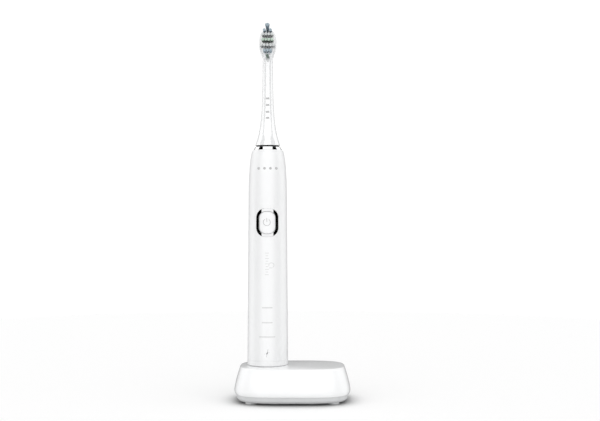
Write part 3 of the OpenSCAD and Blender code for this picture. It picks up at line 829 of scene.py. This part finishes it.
def head_section(z, count=96):
    """A ring of the head: round at the neck, flat and rounded at the platform."""
    flat = smoothstep(PLATFORM_Z0 - 1, PLATFORM_Z0 + 4, z)
    thin = smoothstep(PLATFORM_Z0 - 12, PLATFORM_Z0 + 6, z)
    half_w = neck_r(z) if z < PLATFORM_Z0 else platform_half(z)
    if z < PLATFORM_WIDE_Z0:
        half_w = max(half_w, neck_r(z))
    tip = smoothstep(HEAD_TOP - 2.4, HEAD_TOP, z)
    back = neck_r(z) * (1 - thin) + (PLATFORM_BACK - 0.9 * tip) * thin
    front = neck_r(z) * (1 - flat) - PLATFORM_FRONT * flat - 0.25 * tip
    power = 2 + 1.6 * flat
    ring = []
    for i in range(count):
        t = 2 * math.pi * i / count
        c, s = math.cos(t), math.sin(t)
        x = half_w * math.copysign(abs(c) ** (2 / power), c)
        depth = back if s > 0 else front
        y = depth * math.copysign(abs(s) ** (2 / power), s)
        ring.append((AXIS_X + x, y, z))
    return ring


def head_body():
    """Neck and bristle platform in one moulding, with the mouth that fits the shaft."""
    bore_r, bore_top = 3.1, 208
    mouth_r, mouth_top = 6.2, NECK_Z + 5.2
    section = [(1e-3, bore_top), (bore_r, bore_top), (bore_r, mouth_top), (mouth_r, mouth_top)]
    section += [(mouth_r, NECK_Z + 0.3), (mouth_r + 0.3, NECK_Z)]
    section += [(NECK_FOOT_R - 0.35, NECK_Z), (NECK_FOOT_R - 0.08, NECK_Z + 0.1)]
    rings = [circle_ring(r, z, (AXIS_X, 0), 96) for r, z in section]
    rings += [head_section(z) for z in steps(NECK_Z + 0.4, PLATFORM_Z0 - 12, 40)]
    rings += [head_section(z) for z in steps(PLATFORM_Z0 - 11, PLATFORM_WIDE_Z0, 40)]
    for i in range(1, 25):
        rise = HEAD_TOP - 0.01 - PLATFORM_WIDE_Z0
        rings.append(head_section(PLATFORM_WIDE_Z0 + rise * math.sin(math.pi / 2 * i / 24)))
    verts, faces = rings_mesh(rings, cap_end=True)
    made = new_object("head_moulding", verts, faces, 40)
    return place(made, "brush_head", "white_shell", ["head_body"], WHITE_HEAD)


def tuft_places(colour):
    """Middles of the straight tufts with the given colour, as (x, z)."""
    places = []
    for z, count, pitch, found in zip(ROW_ZS, ROW_TUFTS, ROW_PITCHES, ROW_COLOURS):
        if found == colour:
            places += [(AXIS_X + (k - (count - 1) / 2) * pitch, z) for k in range(count)]
    return places


def filament_rings(foot, tip, radius, sides=6):
    """One thin round filament that narrows to a rounded tip."""
    axis = (tip - foot).normalized()
    across = axis.orthogonal().normalized()
    other = axis.cross(across)
    rings = []
    for share, width in [(0, 1), (0.975, 1), (0.993, 0.75), (1, 0.35)]:
        middle = foot + (tip - foot) * share
        ring = []
        for i in range(sides):
            t = 2 * math.pi * i / sides
            side = across * math.cos(t) + other * math.sin(t)
            ring.append(tuple(middle + side * radius * width))
        rings.append(ring)
    return rings


def packed_core(x, z, lean, root, spread):
    """The middle of a tuft, where the filaments touch and no gap shows."""
    end = BRISTLE_LEN - 0.5
    rings = []
    for share, width in [(0, 0.9), (1, 0.93), (1.01, 0.8), (1.025, 0.5), (1.03, 0.1)]:
        forward = end * share
        middle = (x, PLATFORM_FRONT + 0.6 - (forward + 0.6) * math.cos(lean))
        height = z + forward * math.sin(lean)
        radius = TUFT_R * width
        wide = radius * (root + (spread - root) * min(share, 1))
        ring = []
        for i in range(20):
            t = 2 * math.pi * i / 20
            ring.append((middle[0] + wide * math.cos(t), middle[1], height + radius * math.sin(t)))
        rings.append(ring)
    return rings


def tuft_filaments(dice, x, z, lean=0.0, root=1.0, spread=1.0):
    """Filaments of one tuft, packed in rings round its middle."""
    made = [packed_core(x, z, lean, root, spread)]
    thick = 0.1
    reach = TUFT_R - thick
    for ring, count in [(0, 1), (0.27, 6), (0.52, 12), (0.77, 18), (1.0, 26)]:
        for i in range(count):
            turn = 2 * math.pi * (i + dice.random() * 0.4) / count
            dx, dz = reach * ring * math.cos(turn), reach * ring * math.sin(turn)
            length = BRISTLE_LEN - 0.35 * ring**3 - dice.random() * 0.15
            foot = Vector((x + dx * 0.95 * root, PLATFORM_FRONT + 0.6, z + dz * 0.95))
            tip = Vector((x + dx * spread, PLATFORM_FRONT - length * math.cos(lean), z + dz))
            tip.z += length * math.sin(lean)
            made.append(filament_rings(foot, tip, thick))
    return made


def bristles(colour):
    """All filaments of one colour as one piece."""
    dice = random.Random(colour)
    strands = []
    for x, z in tuft_places(colour):
        strands += tuft_filaments(dice, x, z)
    if colour == "blue":
        strands += tuft_filaments(dice, AXIS_X, TIP_TUFT_Z, TIP_LEAN * 0.97, 0.65, 1.7)
    verts, faces = [], []
    for rings in strands:
        more, joins = rings_mesh(rings, cap_end=True)
        faces += [tuple(i + len(verts) for i in face) for face in joins]
        verts += more
    made = new_object("tufts_" + colour, verts, faces, 60)
    return place(made, "brush_head", "bristle_" + colour, ["bristles_" + colour])


# ---------------------------------------------------------------- printed marks


def printed(name, shapes, radius_at, body, material, lift=0.02):
    """Thin printed shapes laid on a round front; each is a list of (x, z) points."""
    verts, faces = [], []
    for outline in shapes:
        start = len(verts)
        for x, z in outline:
            r = radius_at(z) + lift
            verts.append((AXIS_X + x, -math.sqrt(r * r - x * x), z))
        faces.append(tuple(range(start, start + len(outline))))
    made = new_object(name, verts, faces)
    made.data.materials.append(material)
    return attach(made, body)


def bar(x0, x1, z0, z1, columns=6):
    """Narrow strips that together make one rectangle, so that it bends with the surface."""
    xs = steps(x0, x1, columns)
    return [[(a, z0), (b, z0), (b, z1), (a, z1)] for a, b in zip(xs, xs[1:])]


def dot(x, z, radius, sides=20):
    turns = [2 * math.pi * i / sides for i in range(sides)]
    return [(x + radius * math.cos(t), z + radius * math.sin(t)) for t in turns]


def arc_band(x, z, radius, width, start, end, count=20):
    """Strips along an arc, with angles in degrees from +X."""
    turns = [math.radians(t) for t in steps(start, end, count)]
    inner, outer = radius - width / 2, radius + width / 2
    shapes = []
    for a, b in zip(turns, turns[1:]):
        corners = [(inner, a), (outer, a), (outer, b), (inner, b)]
        shapes.append([(x + r * math.cos(t), z + r * math.sin(t)) for r, t in corners])
    return shapes


def handle_marks():
    """Generic marks: four dots below the shoulder, a dial with ticks, three mode bars."""
    dots = [dot(x, 168.3, 0.95) for x in (-6.2, -2.0, 2.3, 6.5)]
    printed("shoulder_dots", dots, handle_r, "handle", FAINT_INK)
    ticks = []
    for i, z in enumerate(steps(92, 107.5, 8)):
        half = 1.4 if i % 2 == 0 else 0.9
        ticks += bar(-0.2 - half, -0.2 + half, z - 0.22, z + 0.22, 3)
    printed("level_ticks", ticks, handle_r, "handle", SOFT_INK)
    dial = arc_band(3.0, 98.7, 1.8, 0.45, -60, 200) + bar(1.4, 3.6, 96.6, 97.1, 2)
    printed("level_dial", dial, handle_r, "handle", SOFT_INK)
    modes = []
    for z, width in [(68.3, 7.6), (57.6, 7.6), (47.4, 11.3)]:
        modes += bar(-width / 2, width / 2, z - 0.45, z + 0.45, 12)
    printed("mode_bars", modes, handle_r, "handle", SOFT_INK)
    bolt = [[(0.7, 38.7), (-1.9, 35.1), (0.1, 35.1)], [(-0.7, 32.7), (1.9, 36.3), (-0.1, 36.3)]]
    bolt.append([(0.1, 35.1), (-0.9, 35.1), (-0.1, 36.3), (0.9, 36.3)])
    printed("charge_sign", bolt, handle_r, "handle", MARK_INK)


def button_mark():
    """The usual power sign, printed on the button."""
    z = BUTTON_Z + 0.3
    shapes = arc_band(-0.3, z, 2.5, 0.4, 125, 415) + bar(-0.5, -0.1, z + 0.2, z + 3.0, 1)
    printed("power_sign", shapes, button_r, "power_button", FAINT_INK)


def neck_marks():
    """Four faint generic dashes up the neck."""
    shapes = []
    for z in (205.2, 209.6, 214.6, 219.4):
        shapes += bar(-1.2, 1.2, z - 0.7, z + 0.7, 4)
    printed("neck_dashes", shapes, neck_r, "brush_head", FAINT_INK)


# ---------------------------------------------------------------- all pieces


def dress_cad_nodes():
    """Gives each CAD node that still shows the material of its slot."""
    slots = {row["node"]: row["material_slot"] for row in frame["record"]["subparts"]}
    for name, obj in frame["nodes"].items():
        if obj.hide_render:
            continue
        dress(obj, slots[name])


def build():
    charger_shell()
    charger_plinth()
    feet()
    gland()
    handle_shell()
    end_cap()
    collar()
    seal()
    bezel()
    power_button()
    head_body()
    for colour in ("white", "green", "blue"):
        bristles(colour)
    handle_marks()
    button_mark()
    neck_marks()
    dress_cad_nodes()


# ---------------------------------------------------------------- surroundings


def ray_kinds(nodes):
    path = nodes.add("ShaderNodeLightPath")
    return path.outputs["Is Camera Ray"], path.outputs["Is Glossy Ray"]


def studio_gloss(nodes, x, y, z):
    """What shiny surfaces see: bright panels, two dark flags and a dark low back.

    A flag fills the directions that go far enough out to the side and not too far
    behind. It is widest for level rays and for steep ones, and narrow in between.
    """
    side = nodes.math("ABSOLUTE", x)
    up = nodes.math("MAXIMUM", z, 0.0)
    steep = nodes.ramp(up, 0.42, 0.56)
    # How far back the flags reach.
    level = nodes.ramp(up, 0.0, 0.3, 0.2, 0.0)
    lift = nodes.math("MULTIPLY", steep, nodes.math("MULTIPLY", up, 0.62))
    raised = nodes.math("ADD", level, lift)
    reach = nodes.math("ADD", y, nodes.math("MULTIPLY", side, 0.325))
    behind = nodes.math("SUBTRACT", reach, raised)
    beside = nodes.ramp(behind, -0.06, 0.06, 1.0, 0.0)
    # How far out to the side they begin.
    narrow = nodes.ramp(up, 0.05, 0.3, 0.0, -0.18)
    shift = nodes.math("ADD", narrow, nodes.math("MULTIPLY", steep, 0.29))
    out = nodes.ramp(nodes.math("ADD", side, shift), 0.52, 0.61)
    clear = nodes.math("SUBTRACT", 1.0, nodes.math("MULTIPLY", out, beside))
    # Panels that brighten upwards, then the dark low back.
    above = nodes.math("ADD", nodes.math("MULTIPLY", z, 0.6), 1.02)
    panels = nodes.math("MINIMUM", nodes.math("MAXIMUM", above, 0.9), 1.3)
    back = nodes.ramp(y, 0.5, 0.9)
    low = nodes.ramp(z, 0.15, 0.5, 1.0, 0.0)
    gloom = nodes.math("MULTIPLY", nodes.math("MULTIPLY", back, low), 0.93)
    lit = nodes.math("MULTIPLY", panels, nodes.math("SUBTRACT", 1.0, gloom))
    return nodes.math("MULTIPLY", lit, clear)


def studio_light(nodes, y, z):
    """Soft light that is stronger from the front and from above."""
    front = nodes.math("MULTIPLY", y, -0.48)
    above = nodes.math("MULTIPLY", z, 0.4)
    total = nodes.math("ADD", nodes.math("ADD", front, above), 0.7)
    return nodes.math("MAXIMUM", total, 0.0)


def world():
    """White to the camera, a soft front light to matt surfaces, a studio to shiny ones."""
    made = bpy.data.worlds.new("white_studio")
    bpy.context.scene.world = made
    made.use_nodes = True
    nodes = Nodes(made.node_tree)
    place = nodes.add("ShaderNodeTexCoord")
    parts = nodes.add("ShaderNodeSeparateXYZ")
    nodes.join(place.outputs["Generated"], parts.inputs["Vector"])
    x, y, z = parts.outputs
    camera_ray, glossy_ray = ray_kinds(nodes)
    lit = nodes.add("ShaderNodeMix", data_type="FLOAT")
    nodes.value(lit.inputs["Factor"], glossy_ray)
    nodes.value(lit.inputs["A"], studio_light(nodes, y, z))
    nodes.value(lit.inputs["B"], studio_gloss(nodes, x, y, z))
    seen = nodes.add("ShaderNodeMix", data_type="FLOAT")
    nodes.value(seen.inputs["Factor"], camera_ray)
    nodes.value(seen.inputs["A"], lit.outputs["Result"])
    seen.inputs["B"].default_value = BACKDROP
    light = nodes.add("ShaderNodeBackground")
    light.inputs["Color"].default_value = (1, 1, 1, 1)
    nodes.value(light.inputs["Strength"], seen.outputs["Result"])
    out = nodes.add("ShaderNodeOutputWorld")
    nodes.join(light.outputs["Background"], out.inputs["Surface"])


def floor():
    """A pale round tabletop, shaded close to the base and a little way round it."""
    rings = [circle_ring(r, 0.0, (0, 0), 96) for r in (0.1, 120, 300, 700)]
    verts, faces = rings_mesh(rings)
    made = new_object("tabletop", verts, faces)
    material, nodes = new_material("tabletop")
    point = object_point(nodes)
    fine = noise(nodes, point, 0.3, 3.0)
    tint = nodes.mix(fine, rgba((0.97, 0.97, 0.97)), rgba((0.98, 0.98, 0.98)))
    near = nodes.add("ShaderNodeAmbientOcclusion", samples=8)
    near.inputs["Distance"].default_value = CONTACT_SHADE * MM
    wide = nodes.add("ShaderNodeAmbientOcclusion", samples=8)
    wide.inputs["Distance"].default_value = POOL_SHADE * MM
    # The shading is black where both are 0 and keeps the tabletop's own tint where both are 1.
    contact = nodes.ramp(near.outputs["AO"], 0.0, 1.0, 0.35, 1.0)
    pool = nodes.ramp(wide.outputs["AO"], 0.4, 1.0, 0.78, 1.0)
    shaded = nodes.mix(nodes.math("MULTIPLY", contact, pool), rgba((0, 0, 0)), tint)
    shader = surface(nodes, shaded, 0.9, None)
    shader.inputs["Specular IOR Level"].default_value = 0.0
    nodes.join(shaded, shader.inputs["Emission Color"])
    shader.inputs["Emission Strength"].default_value = 0.05
    made.data.materials.append(material)
    made.visible_glossy = False


def camera():
    """A level camera a little above the middle of the handle."""
    data = bpy.data.cameras.new("camera")
    data.sensor_width = SENSOR
    data.lens = LENS
    data.clip_start = 0.01
    data.clip_end = 20
    made = bpy.data.objects.new("camera", data)
    made.location = [v * MM for v in CAMERA_AT]
    made.rotation_euler = (math.pi / 2, 0, 0)
    bpy.context.scene.collection.objects.link(made)
    bpy.context.scene.camera = made


build()
world()
floor()
camera()
bpy.context.scene.view_settings.view_transform = "Standard"
